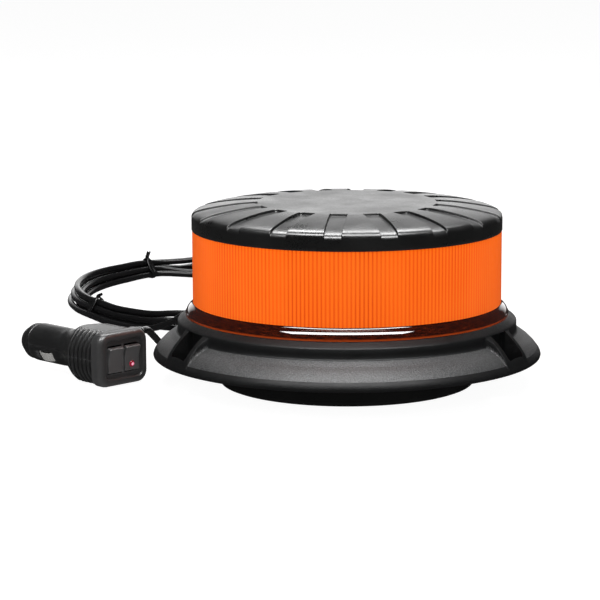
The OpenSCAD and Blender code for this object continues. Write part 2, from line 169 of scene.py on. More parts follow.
def boolean_cut(obj, cutters, sharp):
    """Cuts each cutter out of the object for good, deletes the cutters and shades the result again."""
    for tool in cutters:
        mod = obj.modifiers.new("cut", "BOOLEAN")
        mod.operation, mod.solver, mod.object = "DIFFERENCE", "EXACT", tool
        graph = bpy.context.evaluated_depsgraph_get()
        graph.update()
        mesh = bpy.data.meshes.new_from_object(obj.evaluated_get(graph))
        old = obj.data
        obj.modifiers.clear()
        obj.data = mesh
        mesh.name = old.name
        bpy.data.meshes.remove(old)
    for tool in cutters:
        bpy.data.objects.remove(tool)
    finish_shading(obj, sharp)


def box_cutter(x, y, z, r, place, axis="z"):
    """A placed box, from its ranges, whose edges along one axis are rounded, to cut with."""
    ring, steps = [], 4
    (a0, a1), (b0, b1), ends = {"z": (x, y, z), "x": (y, z, x), "y": (z, x, y)}[axis]
    corners = ((a1 - r, b1 - r, 0), (a0 + r, b1 - r, 90), (a0 + r, b0 + r, 180), (a1 - r, b0 + r, 270))
    for ca, cb, start in corners:
        for k in range(steps + 1):
            dx, dy = polar(r, start + 90 * k / steps)
            ring.append((ca + dx, cb + dy))
    verts = []
    for c in ends:
        for a, b in ring:
            verts.append({"z": (a, b, c), "x": (c, a, b), "y": (b, c, a)}[axis])
    n = len(ring)
    faces = [(j, (j + 1) % n, n + (j + 1) % n, n + j) for j in range(n)]
    faces += [tuple(reversed(range(n))), tuple(range(n, 2 * n))]
    return add_object("cutter", moved(place, verts), faces, [])


def lathed(name, profile, segments, place, materials, face_material=None, sharp=50):
    """A profile of (radius, height) turned about Z, then placed, as an object."""
    b = Builder()
    b.lathe(profile, segments, place)
    return b.object(name, materials, face_material, sharp)


def bore_cutter(radius, low, high, segments, place):
    """A cylinder about the placed Z axis, to cut with."""
    profile = [(0, low), (radius, low), (radius, high), (0, high)]
    return lathed("cutter", profile, segments, place, [], sharp=32)


def spin(degrees, axis="Z"):
    return Matrix.Rotation(math.radians(degrees), 4, axis)


TURN_X = spin(90, "Y")  # turns a lathe's axis from Z to X


# -------- materials
class Nodes:
    """A material's node tree with short calls for the textures used here."""

    def __init__(self, name):
        self.material = bpy.data.materials.new(name)
        self.material.use_nodes = True
        self.tree = self.material.node_tree
        self.shader = self.tree.nodes["Principled BSDF"]
        self.coord = self.new("ShaderNodeTexCoord").outputs["Object"]

    def plug(self, socket, value):
        if hasattr(value, "is_output"):
            self.tree.links.new(value, socket)
        else:
            socket.default_value = value

    def feed(self, node, **inputs):
        """Plugs a node's inputs by name, with underscores for spaces; None leaves one alone."""
        for key, value in inputs.items():
            if value is not None:
                self.plug(node.inputs[key.replace("_", " ")], value)
        return node

    def new(self, kind, **inputs):
        return self.feed(self.tree.nodes.new(kind), **inputs)

    def stretched(self, scale):
        return self.new("ShaderNodeMapping", Vector=self.coord, Scale=scale).outputs["Vector"]

    def noise(self, scale, detail=3, rough=0.55, vector=None):
        return self.new("ShaderNodeTexNoise", Vector=vector or self.coord, Scale=scale, Detail=detail,
                        Roughness=rough).outputs["Fac"]

    def cells(self, scale):
        return self.new("ShaderNodeTexVoronoi", Vector=self.coord, Scale=scale).outputs["Distance"]

    def math(self, operation, a, b):
        node = self.new("ShaderNodeMath")
        node.operation = operation
        self.plug(node.inputs[0], a)
        self.plug(node.inputs[1], b)
        return node.outputs[0]

    def range(self, value, lo, hi, out_lo, out_hi):
        return self.new("ShaderNodeMapRange", Value=value, From_Min=lo, From_Max=hi, To_Min=out_lo,
                        To_Max=out_hi).outputs["Result"]

    def mix(self, factor, a, b):
        node = self.new("ShaderNodeMix")
        node.data_type = "RGBA"
        self.plug(node.inputs[0], factor)
        for socket, value in ((node.inputs[6], a), (node.inputs[7], b)):
            self.plug(socket, (*value, 1) if isinstance(value, tuple) else value)
        return node.outputs[2]

    def xyz(self):
        return self.new("ShaderNodeSeparateXYZ", Vector=self.coord).outputs

    def bump(self, height, strength, distance, normal=None):
        return self.new("ShaderNodeBump", Height=height, Strength=strength, Distance=distance,
                        Normal=normal).outputs["Normal"]

    def painted_edge_highlight(self, color, highlight_color):
        """The colour with its convex edges painted lighter in fine specks towards the highlight colour, as a
        painted edge highlight.
        """
        geometry = self.new("ShaderNodeNewGeometry")
        edges = self.range(geometry.outputs["Pointiness"], 0.52, 0.6, 0, 1)
        return self.mix(self.math("MULTIPLY", edges, self.noise(420, 3)), color, highlight_color)

    def done(self, color, rough, normal=None, **fixed):
        """Feeds the shader and returns the material; what is the same everywhere is set on its sockets."""
        self.feed(self.shader, Base_Color=color, Roughness=rough, Normal=normal, **fixed)
        return self.material


def plastic(name, dark, light, rough, grain, grain_depth, specular=0.4, highlight_color=None):
    """Moulded plastic: cloudy colour, fine surface grain, uneven gloss and, where asked, a painted highlight
    on its convex edges.
    """
    n = Nodes(name)
    cloud = n.noise(38, 4)
    fine = n.noise(grain, 2)
    color = n.mix(cloud, dark, light)
    # painted highlight: the convex edges are lightened in fine specks
    if highlight_color:
        color = n.painted_edge_highlight(color, highlight_color)
    gloss = n.range(n.math("ADD", n.noise(90, 3), n.noise(700, 2)), 0.7, 1.3, rough[0], rough[1])
    normal = n.bump(fine, 0.5, grain_depth)
    return n.done(color, gloss, normal, Specular_IOR_Level=specular)


def metal(name, dark, light, rough, bump=0.00001, metallic=1.0):
    """Bare metal: cloudy tone, finely uneven gloss and a faint grain."""
    n = Nodes(name)
    streak = n.noise(900, 3)
    color = n.mix(n.noise(60, 3), dark, light)
    gloss = n.range(streak, 0.35, 0.65, rough[0], rough[1])
    return n.done(color, gloss, n.bump(streak, 0.35, bump), Metallic=metallic)


# the last colour given to a plastic, where there is one, is painted on its convex edges as a highlight
BASE_BLACK = plastic("base black plastic", (0.004, 0.0042, 0.0045), (0.008, 0.0083, 0.0088), (0.40, 0.54),
                     1900, 0.00006, 0.2, highlight_color=(0.015, 0.0155, 0.016))
RUBBER = plastic("foot rubber", (0.004, 0.004, 0.004), (0.008, 0.008, 0.008), (0.55, 0.72), 1500, 0.00005,
                 0.25)
INNER_BLACK = plastic("inner plastic", (0.02, 0.021, 0.023), (0.03, 0.031, 0.034), (0.45, 0.6), 1500, 0.00004)
PLUG_BLACK = plastic("plug plastic", (0.008, 0.0081, 0.0083), (0.015, 0.0151, 0.0154), (0.3, 0.4), 2200,
                     0.000006, 0.5, highlight_color=(0.08, 0.08, 0.082))
BEZEL_BLACK = plastic("bezel plastic", (0.028, 0.0282, 0.0288), (0.042, 0.0422, 0.0428), (0.3, 0.42), 2400,
                      0.00003, 0.5, highlight_color=(0.14, 0.14, 0.142))
ROCKER_BLACK = plastic("rocker plastic", (0.055, 0.055, 0.056), (0.085, 0.085, 0.086), (0.3, 0.42), 2600,
                       0.00002, 0.5, highlight_color=(0.2, 0.2, 0.2))
CORD_BLACK = plastic("cord insulation", (0.005, 0.005, 0.0053), (0.010, 0.010, 0.0106), (0.2, 0.27), 900,
                     0.00002, 0.22)
BOARD_WHITE = plastic("white board", (0.72, 0.72, 0.68), (0.82, 0.82, 0.79), (0.35, 0.5), 900, 0.00001)
BOARD_GREEN = plastic("green board", (0.006, 0.06, 0.022), (0.012, 0.1, 0.04), (0.25, 0.4), 500, 0.00002)
TERMINAL_GREEN = plastic("terminal green", (0.02, 0.18, 0.06), (0.03, 0.24, 0.09), (0.4, 0.5), 1200, 0.00002)
WIRE_RED = plastic("wire red", (0.22, 0.01, 0.01), (0.32, 0.02, 0.015), (0.3, 0.4), 900, 0.00001)
RIBBON = plastic("ribbon", (0.5, 0.47, 0.4), (0.62, 0.59, 0.52), (0.4, 0.5), 900, 0.00001)
NICKEL = metal("nickel contact", (0.62, 0.61, 0.58), (0.8, 0.79, 0.77), (0.16, 0.3), metallic=0.6)
STEEL = metal("zinc steel", (0.42, 0.43, 0.44), (0.56, 0.57, 0.58), (0.28, 0.42))
ALLOY = metal("cast alloy", (0.62, 0.63, 0.65), (0.75, 0.76, 0.78), (0.35, 0.55), bump=0.00003)
BRASS = metal("brass", (0.6, 0.42, 0.14), (0.72, 0.53, 0.22), (0.2, 0.35))


def cap_material():
    """Satin cap: lightly mottled gloss over a fine grain, with a painted highlight on the crown's convex
    edges.
    """
    n = Nodes("cap satin plastic")
    patch = n.noise(34, 5, 0.62)
    color = n.mix(patch, (0.003, 0.0031, 0.0032), (0.006, 0.0061, 0.0062))
    # painted highlight: the crown's convex edges are painted brighter
    color = n.painted_edge_highlight(color, (0.06, 0.06, 0.06))
    speck = n.range(n.noise(800, 2), 0.3, 0.7, -0.03, 0.03)
    gloss = n.math("ADD", n.range(patch, 0.36, 0.64, 0.27, 0.40), speck)
    normal = n.bump(n.noise(150, 2), 0.2, 0.00006, n.bump(n.noise(2600, 2), 0.5, 0.00003))
    return n.done(color, gloss, normal, Specular_IOR_Level=0.8)


def panel_material():
    """The grained panels of the flange: a coarse spark-eroded grain, under a colour painted lighter than the
    black flange with light flecks, as painted sheen and sparkle.
    """
    n = Nodes("grained panel")
    sparkle_fleck = n.noise(1250, 2, 0.7)
    broad = n.noise(60, 3)
    # painted sheen and sparkle: the lighter colour and light flecks stand in for light the grain catches; the
    # grain itself is the bump below
    color = n.mix(n.range(sparkle_fleck, 0.42, 0.66, 0, 1), (0.012, 0.0125, 0.013), (0.06, 0.062, 0.064))
    color = n.mix(n.range(broad, 0.35, 0.7, 0, 0.35), color, (0.03, 0.031, 0.032))
    height = n.math("ADD", n.noise(900, 3, 0.7), n.math("MULTIPLY", n.noise(2600, 2), 0.4))
    return n.done(color, n.range(sparkle_fleck, 0.3, 0.7, 0.42, 0.62), n.bump(height, 0.75, 0.00022),
                  Specular_IOR_Level=0.6)


def lens_material():
    """Amber lens: vertical prisms behind a smooth glossy wall, with a faint painted glow in its own colour.
    """
    n = Nodes("amber lens")
    x, y, _ = n.xyz()
    turn = n.math("MULTIPLY", n.math("ARCTAN2", y, x), RIBS / TAU)
    wave = n.math("PINGPONG", turn, 0.5)
    prism = n.range(wave, 0.02, 0.5, 0, 1)
    beat = n.noise(46, 2, vector=n.stretched((1, 1, 0.02)))
    line = n.math("MULTIPLY", n.range(wave, 0.04, 0.24, 1, 0), n.range(beat, 0.36, 0.62, 0.25, 1.0))
    color = n.mix(prism, (0.90, 0.115, 0.004), (1.0, 0.15, 0.007))
    color = n.mix(n.math("MULTIPLY", line, 0.9), color, (0.55, 0.045, 0.0005))
    color = n.mix(n.range(n.noise(24, 2), 0.4, 0.7, 0, 0.25), color, (1.0, 0.17, 0.012))
    normal = n.bump(wave, 0.25, 0.00012)
    # painted glow: the lens gives off a little light of its own colour, though nothing inside it is lit
    return n.done(color, n.range(n.noise(300, 2), 0.3, 0.7, 0.3, 0.4), normal, Specular_IOR_Level=0.06,
                  Coat_Weight=0.1, Coat_Roughness=0.05, Coat_IOR=1.4, Emission_Color=color,
                  Emission_Strength=0.3)


def skirt_material():
    """The clear foot of the lens, dark because the dark inside shows through it."""
    n = Nodes("clear amber foot")
    x, y, z = n.xyz()
    turn = n.math("MULTIPLY", n.math("ARCTAN2", y, x), RIBS / TAU)
    dots = n.range(n.math("PINGPONG", turn, 0.5), 0.1, 0.4, 0, 1)
    streak = n.noise(260, 3, vector=n.stretched((1, 1, 6)))
    color = n.mix(n.range(streak, 0.4, 0.7, 0, 1), (0.018, 0.002, 0.001), (0.10, 0.012, 0.002))
    color = n.mix(n.math("MULTIPLY", dots, n.range(z, 0.0385, 0.0415, 0, 0.5)), color, (0.05, 0.006, 0.001))
    color = n.mix(n.range(z, 0.0366, 0.0375, 1, 0), color, (0.55, 0.07, 0.008))
    return n.done(color, n.range(streak, 0.3, 0.7, 0.02, 0.06), Specular_IOR_Level=0.6, Coat_Weight=0.7,
                  Coat_Roughness=0.03)


def indicator_material(name, deep, bright, glow):
    """Clear coloured plastic with facets, and a little painted glow in its own colour."""
    n = Nodes(name)
    facet = n.cells(900)
    color = n.mix(n.range(facet, 0.2, 0.7, 0, 1), bright, deep)
    # painted glow: the plastic gives off its own colour as light
    return n.done(color, n.range(facet, 0.0, 0.8, 0.12, 0.22), n.bump(facet, 0.3, 0.0001), Coat_Weight=0.8,
                  Coat_Roughness=0.04, Emission_Color=color, Emission_Strength=glow)


def dome_material():
    """The yellow silicone over a light-emitting diode."""
    n = Nodes("led dome")
    color = n.mix(n.noise(600, 2), (0.9, 0.62, 0.12), (1.0, 0.75, 0.25))
    return n.done(color, n.range(n.noise(900, 2), 0.3, 0.7, 0.08, 0.15), Transmission_Weight=0.5)


def glass_material():
    """The clear tube of a fuse."""
    n = Nodes("fuse glass")
    color = n.mix(n.noise(200, 2), (0.85, 0.9, 0.9), (0.95, 0.98, 0.98))
    return n.done(color, n.range(n.noise(500, 2), 0.3, 0.7, 0.03, 0.08), Transmission_Weight=0.9)


CAP_BLACK = cap_material()
PANEL = panel_material()
LENS = lens_material()
SKIRT = skirt_material()
# the last number of each indicator is its painted glow
INDICATOR = indicator_material("red indicator", (0.14, 0.003, 0.012), (0.34, 0.008, 0.03), 0.25)
INDICATOR_CORE = indicator_material("indicator centre", (0.7, 0.16, 0.28), (0.95, 0.5, 0.6), 0.5)
LED_DOME = dome_material()
GLASS = glass_material()

# the CAD nodes that keep their own shape
CARRIED_OVER = (
    (INNER_BLACK, "magnet_carrier capacitors inductors driver_chips gland_nut switch_bodies"),
    (NICKEL, "magnets fuse_caps"),
    (STEEL, "magnet_plate magnet_screws housing_screws board_screws shell_screws tip_spring rocker_axle"),
    (RUBBER, "base_gasket cap_gasket"), (ALLOY, "heat_spreader"), (BRASS, "standoffs"),
    (BOARD_WHITE, "led_boards"), (LED_DOME, "leds"), (BOARD_GREEN, "driver_board plug_board"),
    (TERMINAL_GREEN, "terminal_block"), (WIRE_RED, "supply_wires plug_wires"), (RIBBON, "led_ribbon"),
    (GLASS, "fuse"))
for look, node_names in CARRIED_OVER:
    for node_name in node_names.split():
        slots = NODES[node_name].data.materials
        for i in range(len(slots)):
            slots[i] = look
        if not len(slots):
            slots.append(look)


def place(obj, body, slot, *nodes):
    """Makes a new piece ride on a body in place of CAD nodes; the slot argument is not used."""
    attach(obj, body)
    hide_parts(*nodes)
    return obj


# -------- camera
camera_data = bpy.data.cameras.new("camera")
camera_data.lens, camera_data.sensor_width = 150.0, 36.0
camera_data.shift_x = -0.0783
camera_data.clip_start, camera_data.clip_end = 0.05, 40
camera = new_object("camera", camera_data)
camera.location = (0, -1.2704, 0.2643)
camera.rotation_euler = (math.radians(90 - 9.91), 0, 0)
bpy.context.scene.camera = camera

# -------- the free lead
CORD_D = 0.0038
STRAND = 3.8  # the same in mm
LEAD = [(-50, 86.6, 23.5), (-64, 110.9, 23.5), (-70, 118, 22.6), (-78, 122, 19.8), (-88, 123.5, 14.6),
        (-98, 124.6, 8.8), (-107.5, 128, 4.4), (-116.5, 133.8, 2.4), (-124.8, 141.2, 1.9)]
TAIL = [(-20.7, 120, 3.9), (-35, 115.6, 2.0), (-50, 112.6, 1.9), (-64, 110.4, 1.9), (-77, 108, 1.9),
        (-88, 103, 2.0), (-96, 95, 2.4), (-100.5, 84, 3.8), (-102.5, 71, 6.8), (-103.5, 58, 11.4),
        (-104.8, 45, 16.4), (-106, 35.5, 20), (-107.27, 28.5, 21.3), (-108.92, 21.9, 21.5),
        (-113.49, 3.58, 21.5)]
COIL_CENTRE = (-45.0, 243.5)
COIL_R = 125.1  # middle of the outermost strand
COIL_START = -130.0  # angle where the lead joins the coil, degrees
COIL_TURNED = 5 * 360 + 302.0  # degrees wound, clockwise from above
COIL_STEPS = 280
TIE_AT = (-148.0, 135.0)
TIE_MIDDLE, TIE_HALF = 173.5, 38.5  # middle of the tied stretch and half its angle
# places in the bundle: inward from the outside, up from the floor, share of the loose upward bow, least rise
SLOTS = [(0.5, 0.0, 0.0, 0.0), (5.2, 0.0, 0.0, 0.0), (9.6, 0.0, 0.0, 0.0), (7.4, 3.3, 0.3, 0.0),
         (4.7, 6.9, 1.0, 3.9), (2.5, 3.4, 0.55, 0.0), (0.6, 7.0, 0.5, 3.9)]
CHANGE, CLIMB = (293, 327), (281, 305)  # degrees of the first pass in which it moves across, and rises
EARLIER = 35  # each later pass does so this many degrees earlier than the one before
CROSSING_TURNS, CROSSING_LIFT = (2, 4), 4.3  # passes that go over others where they change places
FULL_SPREAD = 106  # degrees beside the tied stretch where the strands are widest apart
HALF_GAP, NEST_RISE = 2.2, 3.1  # half the tied strands' spacing, and how high a strand lies between two


def turn_between(a, b):
    """The signed angle from one direction to another, in degrees."""
    return (b - a + 180) % 360 - 180


def coil_spread(signed):
    """How many times wider than when tied the strands lie, at an angle from the middle of the ties."""
    beside = abs(signed)
    if signed > 0:
        return 1 + 2.2 * smooth(60, FULL_SPREAD, beside)
    return 1 + lerp(3.1, 2.2, smooth(75, 120, beside)) * smooth(TIE_HALF, TIE_HALF + 24, beside)


def coil_looseness(signed):
    """How far the loose strands bow up, full beside the tied stretch and slight in its middle."""
    beside = abs(signed)
    opens = 60 if signed > 0 else TIE_HALF
    loose = smooth(opens, opens + 18, beside) * (1 - smooth(84, 120, beside))
    return loose + 0.35 * max(0.0, 1 - (beside / 40) ** 2)


def coil_wander(az):
    """The whole bundle is not quite round."""
    return 0.5 * math.sin(math.radians(2 * az + 40)) + 0.4 * math.sin(math.radians(3 * az - 25)) - 0.9


def coil_point(turned):
    """Each pass keeps its place in the bundle where it is tied and moves to the next one at the far side."""
    turn, part = divmod(turned, 360)
    turn = int(turn)
    az = COIL_START - turned
    change, climb = (smooth(a - EARLIER * turn, b - EARLIER * turn, part) for a, b in (CHANGE, CLIMB))
    places = zip(SLOTS[turn], SLOTS[turn + 1], (change, climb, change, climb))
    inward, rise, bow, least = (lerp(a, b, t) for a, b, t in places)
    signed = turn_between(TIE_MIDDLE, az)
    spread = coil_spread(signed)
    # an upper strand sinks between two lower ones as they part
    nest = math.sqrt(max(0.0, STRAND ** 2 - (HALF_GAP * spread) ** 2)) / NEST_RISE
    r = COIL_R - inward * spread + 4.4 * (1 - smooth(0, 32, turned)) + coil_wander(az)
    r += 0.1 * math.sin(math.radians(2.6 * az + 140 * turn))
    z = STRAND / 2 + max(rise * nest, least if spread > 1.2 else 0.0) + 5.0 * bow * coil_looseness(signed)
    if turn in CROSSING_TURNS:
        z += CROSSING_LIFT * smooth(228, 246, part) * (1 - smooth(322, 340, part))
    for tie in TIE_AT:
        z += 1.1 * math.exp(-(turn_between(tie, az) / 5) ** 2)
    x, y = polar(r, az)
    return COIL_CENTRE[0] + x, COIL_CENTRE[1] + y, z


def smooth_path(points, per):
    """A Catmull-Rom curve through the points, with so many steps for each stretch."""
    out = []
    for i in range(len(points) - 1):
        a, b, c, d = (Vector(points[max(0, min(len(points) - 1, i + k))]) for k in (-1, 0, 1, 2))
        for k in range(per):
            t = k / per
            out.append(tuple(0.5 * (2 * b + (c - a) * t + (2 * a - 5 * b + 4 * c - d) * t * t
                                    + (3 * b - a - 3 * c + d) * t ** 3)))
    return out + [tuple(points[-1])]


coil = [coil_point(COIL_TURNED * k / COIL_STEPS) for k in range(1, COIL_STEPS + 1)]
cord_points = [(x * MM, y * MM, max(z * MM, CORD_D / 2)) for x, y, z in smooth_path(LEAD + coil + TAIL, 3)]
cord_data = bpy.data.curves.new("power_cord", "CURVE")
cord_data.dimensions = "3D"
spline = cord_data.splines.new("POLY")
spline.points.add(len(cord_points) - 1)
for point, p in zip(spline.points, cord_points):
    point.co = (*p, 1)
spline.use_smooth = True
cord_data.bevel_depth, cord_data.bevel_resolution = CORD_D / 2, 4
cord_data.use_fill_caps = True
cord_data.materials.append(CORD_BLACK)
power_cord = new_object("power_cord", cord_data)
place(power_cord, "lamp", "cord_black", "cord_lead", "cord_coil", "cord_tail")


def wire(b, spine, wide, thick, side, closed_loop=False):
    """A flat wire along a spine; the wide axis stays as near as it can to the given side vector."""
    rings, n, sides = [], len(spine), 8
    for i, p in enumerate(spine):
        if closed_loop:
            ahead = spine[(i + 1) % n] - spine[i - 1]
        else:
            ahead = spine[min(i + 1, n - 1)] - spine[max(i - 1, 0)]
        ahead.normalize()
        across = (side - ahead * side.dot(ahead)).normalized()
        up = ahead.cross(across)
        end = 0.62 if not closed_loop and i in (0, n - 1) else 1.0
        ring = []
        for q in range(sides):
            a = TAU * q / sides
            ring.append(tuple(p + end * (across * wide * math.cos(a) + up * thick * math.sin(a))))
        rings.append(ring)
    b.loft(rings + rings[:1] if closed_loop else rings, caps=not closed_loop)


# a tie's rounded triangle: inward, height, and start and end angle of each corner, then their radius
WRAP_CORNERS = [(0.5, 3.0, -90, 31.3), (4.7, 9.9, 31.3, 144.6), (9.6, 3.0, 144.6, 270)]
WRAP_R = 2.55
WRAP_LOW, WRAP_TALL, WRAP_APART = 0.4, 12.2, 1.25  # the two wraps meet at the foot and the top
TWIST_Z, STUB, STUB_TURNED = 12.2, 4.6, 620  # height, length and turn of the twisted ends


def twist_tie(name, az, lean):
    """A coated wire taken twice round the bundle, its ends twisted together."""
    b = Builder()
    here = Matrix.Translation((*COIL_CENTRE, 0)) @ spin(az)
    turn = here.to_3x3()
    outside = COIL_R + coil_wander(az)
    line = []
    for inward, z, a0, a1 in WRAP_CORNERS:
        for k in range(9):
            x, y = polar(WRAP_R, lerp(a0, a1, k / 8))
            line.append((outside - inward + x, z + y))
    line = refine(line + line[:1], 0.8)[:-1]
    for s in (-1, 1):
        spine = []
        for r, z in line:
            height = min(1.0, max(0.0, (z - WRAP_LOW) / WRAP_TALL))
            spine.append(here @ Vector((r, s * WRAP_APART * math.sin(math.pi * height) ** 0.7, z)))
        wire(b, spine, 1.1, 0.5, turn @ Vector((0, 1, 0)), closed_loop=True)
    for phase in (0, 180):
        spine = []
        for k in range(26):
            t = k / 25
            bend = math.radians(lean * smooth(0.0, 0.8, t))
            cx, cy = polar(0.62, phase + STUB_TURNED * t)
            along = STUB * t
            spine.append(here @ Vector((outside - WRAP_CORNERS[1][0] + cx, along * math.sin(bend) + cy,
                                        TWIST_Z + along * math.cos(bend))))
        wire(b, spine, 0.8, 0.55, turn @ Vector((1, 0, 0)))
    return b.object(name, [CORD_BLACK])


tie_front = place(twist_tie("twist_tie_front", TIE_AT[0], 50), "lamp", "cord_black", "tie_front")
tie_back = place(twist_tie("twist_tie_back", TIE_AT[1], -18), "lamp", "cord_black", "tie_back")

# -------- base housing
POCKETS = (-150.0, -30.0, 90.0)
GLAND_AZ = 120.0
TOP_INNER = [(0, 17.5), (77.4, 17.5), (78, 18.1), (78, 35.8), (78.4, 36.2), (79.4, 36.2), (83.4, 36.2),
             (84.0, 35.95)]
COLLAR = [(86.2, 34.05), (86.9, 33.6), (87.3, 33.0)]
RIM_LINE = [(99.4, 17.3), (99.8, 16.4), (99.98, 15.6), (99.8, 14.95), (99.3, 14.55), (98.8, 14.5), (97, 14.5)]
UNDER_OPEN = [(95.3, 14.55), (95.1, 14.9), (95.1, 17.4), (94.6, 18), (86.4, 23.8), (85.8, 24), (81.4, 24),
              (81, 23.6), (81, 14.9), (80.7, 14.5)]
UNDER_FLAT = [(r, 14.5) for r in (95.3, 94, 92.5, 91, 89.5, 88, 86.5, 85, 83, 80.7)]
UNDER_CENTRE = [(60, 14.5), (0, 14.5)]
PANEL_EDGE = 11.0  # beside a pocket's middle line, where the sunken panel begins
UNDER_EDGE, GLAND_EDGE = 10.7, 9.0  # the same for the recesses underneath, beside a pocket and the gland
PANEL_TOP_R, PANEL_CORNER = 87.0, 5.0  # the panels' upper edge and corner radius


def slope_line(line):
    """The line with its steep stretches below the collar cut finer, for the panels' rounded corners."""
    out = [line[0]]
    for (r, _), a, b in zip(PANEL_SLOPE, line, line[1:]):
        n = 6 if 87.5 < r < 92 else 1
        out += [(lerp(a[0], b[0], k / n), lerp(a[1], b[1], k / n)) for k in range(1, n + 1)]
    return out


PANEL_SLOPE = [(87.3, 30.5), (87.35, 28.6), (87.8, 27.95), (89, 27.1), (91, 25.5), (93, 24.1), (94.6, 22.9),
               (96, 21.5), (97.2, 20.3), (98.0, 19.2), (98.8, 18.2)]
RIB_SLOPE = [(87.3, 32.95), (87.32, 32.9), (87.6, 32.6), (89, 31.4), (91, 29.6), (93, 27.6), (94.8, 25.6),
             (96.4, 23.4), (97.6, 21.6), (98.3, 20.0), (98.9, 18.6)]
PANEL_LINE, RIB_LINE = slope_line(PANEL_SLOPE), slope_line(RIB_SLOPE)


def lateral(r, az, centre):
    """How far a point lies beside a radial line, in mm, or far away if it is on the other side."""
    off = turn_between(centre, az)
    return abs(r * math.sin(math.radians(off))) if abs(off) < 90 else 1e3


def base_angles():
    """Angles of the housing's points, close together at the edges of the panels and recesses."""
    angles = {round(0.8 * k, 3) for k in range(450)}
    for p in POCKETS:
        for side in (-1, 1):
            angles |= {round((p + 6.9 * side + 0.12 * k) % 360, 3) for k in range(-10, 11)}
            angles |= {round((p + side * (8.1 + 0.2 * k)) % 360, 3) for k in range(1, 19)}
    for side in (-1, 1):
        angles |= {round((GLAND_AZ + 5.8 * side + 0.2 * k) % 360, 3) for k in range(-3, 4)}
    return sorted(angles)


def beside_pockets(r, az):
    return min(lateral(r, az, p) for p in POCKETS)


def panel_share(r, az):
    """0 on the ribs beside the pockets, 1 on a sunken panel, blended over its edge."""
    beside = beside_pockets(r, az) - PANEL_EDGE
    below = r - PANEL_TOP_R
    if beside < PANEL_CORNER and below < PANEL_CORNER:
        beside = PANEL_CORNER - math.hypot(PANEL_CORNER - beside, PANEL_CORNER - below)
    return smooth(-0.35, 0.45, beside)


def recess_share(r, az):
    """0 on the ribs underneath, 1 in the recesses between them."""
    beside = min(beside_pockets(r, az) - UNDER_EDGE, lateral(r, az, GLAND_AZ) - GLAND_EDGE)
    return smooth(-0.3, 0.3, beside)


def panel_zone(c):
    """Slot 1, the grained one, for the faces of the sunken panels."""
    r = math.hypot(c.x, c.y)
    if not (88.2 < r < 98.2 and 18.4 < c.z < 28.2):
        return 0
    beside = beside_pockets(r, math.degrees(math.atan2(c.y, c.x)))
    return int(beside > 11.1 and c.z < 29.6 - (r - 87.5) * 0.76)


def base_housing():
    """A flange whose sloped top has sunken panels between ribs, with three bolt pockets."""
    angles = base_angles()
    rows = [(p, p, None) for p in TOP_INNER + COLLAR]
    rows += [(a, b, panel_share) for a, b in zip(RIB_LINE, PANEL_LINE)]
    rows += [(p, p, None) for p in RIM_LINE]
    rows += [(a, b, recess_share) for a, b in zip(UNDER_FLAT, UNDER_OPEN)]
    rows += [(p, p, None) for p in UNDER_CENTRE]
    verts = []
    for a, b, share in rows:
        for az in angles:
            t = share(b[0], az) if share else 0.0
            x, y = polar(lerp(a[0], b[0], t), az)
            verts.append((x, y, lerp(a[1], b[1], t)))
    shell = Builder()
    shell.add(verts, grid_faces(len(rows), len(angles)))
    obj = shell.object("base_housing_shell", [BASE_BLACK, PANEL], panel_zone, sharp=40)
    cuts = []
    for p in POCKETS:
        cuts.append(box_cutter((84.5, 97.6), (-7.7, 7.7), (17.5, 33), 1.4, spin(p)))
        cuts.append(box_cutter((87.5, 97.6), (-7.7, 7.7), (26, 50), 1.4, spin(p)))
        cuts.append(bore_cutter(3.3, 10, 30, 32, spin(p) @ Matrix.Translation((91.5, 0, 0))))
    boolean_cut(obj, cuts, 40)
    return obj


GLAND_FRAME = spin(GLAND_AZ) @ Matrix.Translation((0, 0, 23.5)) @ TURN_X
base = base_housing()
GLAND_BOSS = closed(fillet([(5.05, 80), (5.05, 101), (8.4, 101), (8.4, 80)], 0.6))
lathed("gland_boss_trim", GLAND_BOSS, 48, GLAND_FRAME, [BASE_BLACK], sharp=32).parent = base
place(base, "lamp", "base_plastic", "base_housing")

# -------- magnet foot
FOOT = [(0, 0.35), (10, 0.35), (10.6, 0), (50.8, 0), (51.2, 0.5), (52.8, 0.5), (53.2, 0), (56.8, 0),
        (57.2, 0.5), (58.8, 0.5), (59.2, 0), (63.6, 0), (65.4, 0.7), (66, 2.4), (66, 9.6), (65.5, 10),
        (65.5, 10.8), (66, 11.2), (66, 13.4), (65.2, 14.5), (0, 14.5)]
foot = lathed("magnet_foot_boot", fillet(FOOT, 0.35, 3), 160, Matrix(), [RUBBER])
place(foot, "lamp", "foot_rubber", "magnet_boot")

# -------- lens
LENS_FOOT = [(79, 36.2), (83.0, 36.2), (83.2, 36.4), (83.2, 37.4), (83.0, 37.7), (82.75, 38.2),
             (82.5, 38.9), (82.1, 39.6), (81.5, 40.35), (80.7, 41.05), (79.9, 41.6), (79.5, 42.0),
             (79.38, 42.4), (79.4, 43)]
LENS_WALL = [(79.4, 43 + 36.3 * k / 12) for k in range(1, 13)]
LENS_TOP = [(79.3, 79.6), (79.0, 79.7), (77.4, 79.7), (77.4, 84), (75, 84), (75, 78)]
LENS_IN_R, PRISM_DEEP = 76.9, 0.9
LENS_IN = [(LENS_IN_R, 76), (LENS_IN_R, 60), (LENS_IN_R, 44), (78.6, 41), (79, 38)]
SKIRT_TOP = 42.3  # the clear foot ends here


